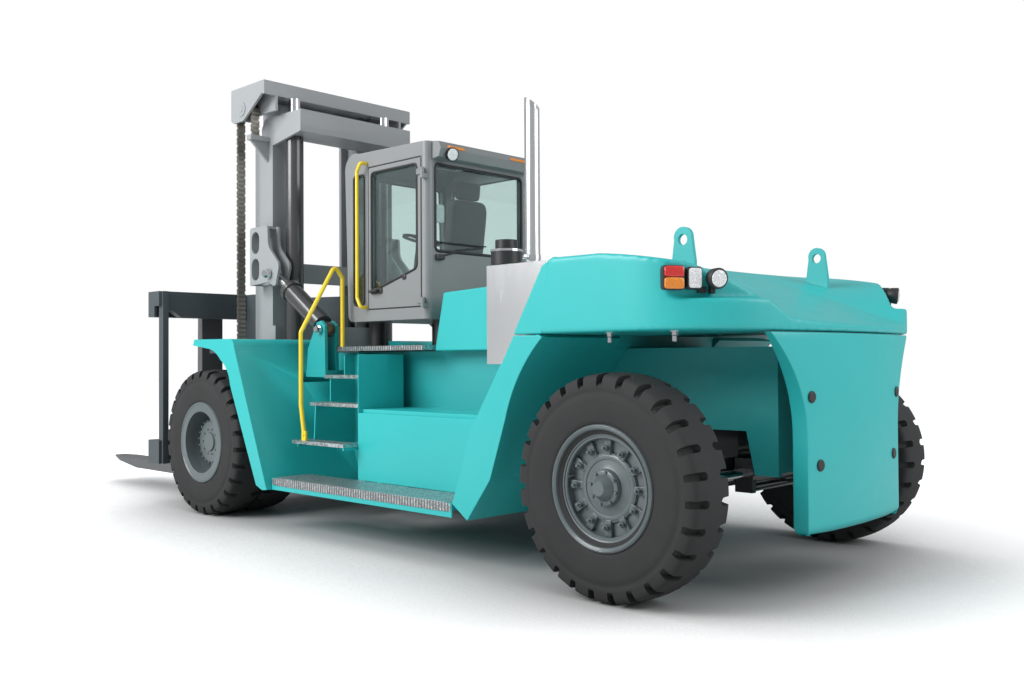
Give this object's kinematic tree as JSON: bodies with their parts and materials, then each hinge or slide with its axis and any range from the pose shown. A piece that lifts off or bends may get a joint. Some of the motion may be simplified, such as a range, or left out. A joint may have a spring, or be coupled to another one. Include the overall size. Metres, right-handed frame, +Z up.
{
  "type": "heavy counterbalance forklift truck",
  "caption": "Heavy counterbalance forklift: dual drive tyres, steered rear axle, central cab, duplex mast with lift and tilt cylinders, chains, carriage and forks.",
  "frame": {"origin": "on the ground under the middle of the machine's box", "axes": "+X forward to the fork tips, +Y to the driver's left, +Z up"},
  "size_m": [9.25, 3.154, 4.18],
  "materials": {
    "body_teal": "gloss paint",
    "frame_teal": "gloss paint",
    "mast_grey": "satin paint",
    "carriage_grey": "satin paint",
    "cab_grey": "satin paint",
    "axle_black": "satin paint",
    "tyre": "matt rubber",
    "rim_grey": "satin paint",
    "rod_chrome": "polished",
    "cylinder_grey": "gloss paint",
    "chain_steel": "oiled steel",
    "stack_steel": "bright steel",
    "galvanised": "galvanised",
    "cleaner_black": "matt",
    "rail_yellow": "gloss paint",
    "glass_green": "tinted",
    "seat_cloth": "woven",
    "trim_black": "matt",
    "fork_dark": "satin paint",
    "engine_grey": "painted"
  },
  "bodies": {
    "chassis": {"chassis_frame": "frame_teal", "engine_block": "engine_grey", "drive_axle": "axle_black", "steer_axle": "axle_black", "steer_cylinder_barrel": "cylinder_grey", "front_fenders": "body_teal", "rear_body_sides": "body_teal", "side_tanks": "body_teal", "running_boards": "body_teal", "step_treads": "galvanised", "step_brackets": "body_teal", "side_decks": "galvanised", "rear_hood": "body_teal", "engine_cover": "body_teal", "counterweight": "body_teal", "lifting_eyes": "body_teal", "exhaust_stack": "stack_steel", "exhaust_shield": "stack_steel", "air_pre_cleaner": "cleaner_black", "cab_shell": "cab_grey", "cab_glass": "glass_green", "cab_mounts": "trim_black", "driver_seat": "seat_cloth", "steering_column": "trim_black", "handrails": "rail_yellow"},
    "cab_door": {"cab_door": "cab_grey", "cab_door_glass": "glass_green"},
    "steer_rod": {"steer_cylinder_rod": "rod_chrome"},
    "knuckle_left": {"knuckle_left": "axle_black"},
    "rear_wheel_left": {"rear_tyre_left": "tyre", "rear_rim_left": "rim_grey"},
    "front_wheel_left": {"front_tyres_left": "tyre", "front_hub_left": "rim_grey"},
    "tilt_barrel_left": {"tilt_barrel_left": "cylinder_grey"},
    "tilt_rod_left": {"tilt_rod_left": "rod_chrome"},
    "knuckle_right": {"knuckle_right": "axle_black"},
    "rear_wheel_right": {"rear_tyre_right": "tyre", "rear_rim_right": "rim_grey"},
    "front_wheel_right": {"front_tyres_right": "tyre", "front_hub_right": "rim_grey"},
    "tilt_barrel_right": {"tilt_barrel_right": "cylinder_grey"},
    "tilt_rod_right": {"tilt_rod_right": "rod_chrome"},
    "outer_mast": {"outer_mast": "mast_grey", "lift_barrels": "cylinder_grey", "chain_rear_strands": "chain_steel"},
    "inner_mast": {"inner_mast": "mast_grey", "lift_rods": "rod_chrome", "chain_sheaves": "axle_black", "chain_front_strands": "chain_steel"},
    "carriage": {"carriage": "carriage_grey"},
    "fork_left": {"fork_left": "fork_dark"},
    "fork_right": {"fork_right": "fork_dark"}
  },
  "joints": [
    {"name": "front_wheel_spin_left", "type": "hinge", "parent": "chassis", "child": "front_wheel_left", "pos_m": [1.221, 1.077, 0.685], "axis": [0, 1, 0], "continuous": true},
    {"name": "steer_left", "type": "hinge", "parent": "chassis", "child": "knuckle_left", "pos_m": [-3.725, 1.02, 0.685], "axis": [0, 0, 1], "range_deg": [-55, 55]},
    {"name": "rear_wheel_spin_left", "type": "hinge", "parent": "knuckle_left", "child": "rear_wheel_left", "pos_m": [-3.725, 1.382, 0.685], "axis": [0, 1, 0], "continuous": true},
    {"name": "front_wheel_spin_right", "type": "hinge", "parent": "chassis", "child": "front_wheel_right", "pos_m": [1.221, -1.077, 0.685], "axis": [0, 1, 0], "continuous": true},
    {"name": "steer_right", "type": "hinge", "parent": "chassis", "child": "knuckle_right", "pos_m": [-3.725, -1.02, 0.685], "axis": [0, 0, 1], "range_deg": [-55, 55]},
    {"name": "rear_wheel_spin_right", "type": "hinge", "parent": "knuckle_right", "child": "rear_wheel_right", "pos_m": [-3.725, -1.382, 0.685], "axis": [0, 1, 0], "continuous": true},
    {"name": "steer_rod_slide", "type": "slide", "parent": "chassis", "child": "steer_rod", "axis": [0, 1, 0], "range_m": [-0.2, 0.2]},
    {"name": "door_swing", "type": "hinge", "parent": "chassis", "child": "cab_door", "pos_m": [-1.075, 0.646, 1.9], "axis": [0, 0, 1], "range_deg": [0, 80]},
    {"name": "mast_tilt", "type": "hinge", "parent": "chassis", "child": "outer_mast", "pos_m": [1.221, 0, 0.685], "axis": [0, 1, 0], "range_deg": [-5, 5]},
    {"name": "mast_lift", "type": "slide", "parent": "outer_mast", "child": "inner_mast", "axis": [0, 0, 1], "range_m": [-0.07, 1.8], "deforming": ["chain_rear_strands"]},
    {"name": "carriage_lift", "type": "slide", "parent": "inner_mast", "child": "carriage", "axis": [0, 0, 1], "range_m": [-0.07, 1.8], "deforming": ["chain_front_strands"]},
    {"name": "fork_shift_left", "type": "slide", "parent": "carriage", "child": "fork_left", "axis": [0, 1, 0], "range_m": [-0.12, 0.4]},
    {"name": "fork_shift_right", "type": "slide", "parent": "carriage", "child": "fork_right", "axis": [0, 1, 0], "range_m": [-0.4, 0.12]},
    {"name": "tilt_barrel_swing_left", "type": "hinge", "parent": "chassis", "child": "tilt_barrel_left", "pos_m": [0.137, 0.76, 1.735], "axis": [0, 1, 0], "range_deg": [-3.6, 3.6]},
    {"name": "tilt_rod_slide_left", "type": "slide", "parent": "tilt_barrel_left", "child": "tilt_rod_left", "axis": [0.8337, 0, 0.5522], "range_m": [-0.13, 0.13]},
    {"name": "tilt_barrel_swing_right", "type": "hinge", "parent": "chassis", "child": "tilt_barrel_right", "pos_m": [0.137, -0.76, 1.735], "axis": [0, 1, 0], "range_deg": [-3.6, 3.6]},
    {"name": "tilt_rod_slide_right", "type": "slide", "parent": "tilt_barrel_right", "child": "tilt_rod_right", "axis": [0.8337, 0, 0.5522], "range_m": [-0.13, 0.13]}
  ],
  "couplings": [
    {"joint": "steer_right", "follows": "steer_left", "ratio": 1},
    {"joint": "steer_rod_slide", "follows": "steer_left", "m_per_rad": -0.205},
    {"joint": "carriage_lift", "follows": "mast_lift", "ratio": 1},
    {"joint": "tilt_barrel_swing_left", "follows": "mast_tilt", "ratio": 0.685},
    {"joint": "tilt_rod_slide_left", "follows": "mast_tilt", "m_per_rad": 1.474},
    {"joint": "tilt_barrel_swing_right", "follows": "mast_tilt", "ratio": 0.685},
    {"joint": "tilt_rod_slide_right", "follows": "mast_tilt", "m_per_rad": 1.474}
  ]
}
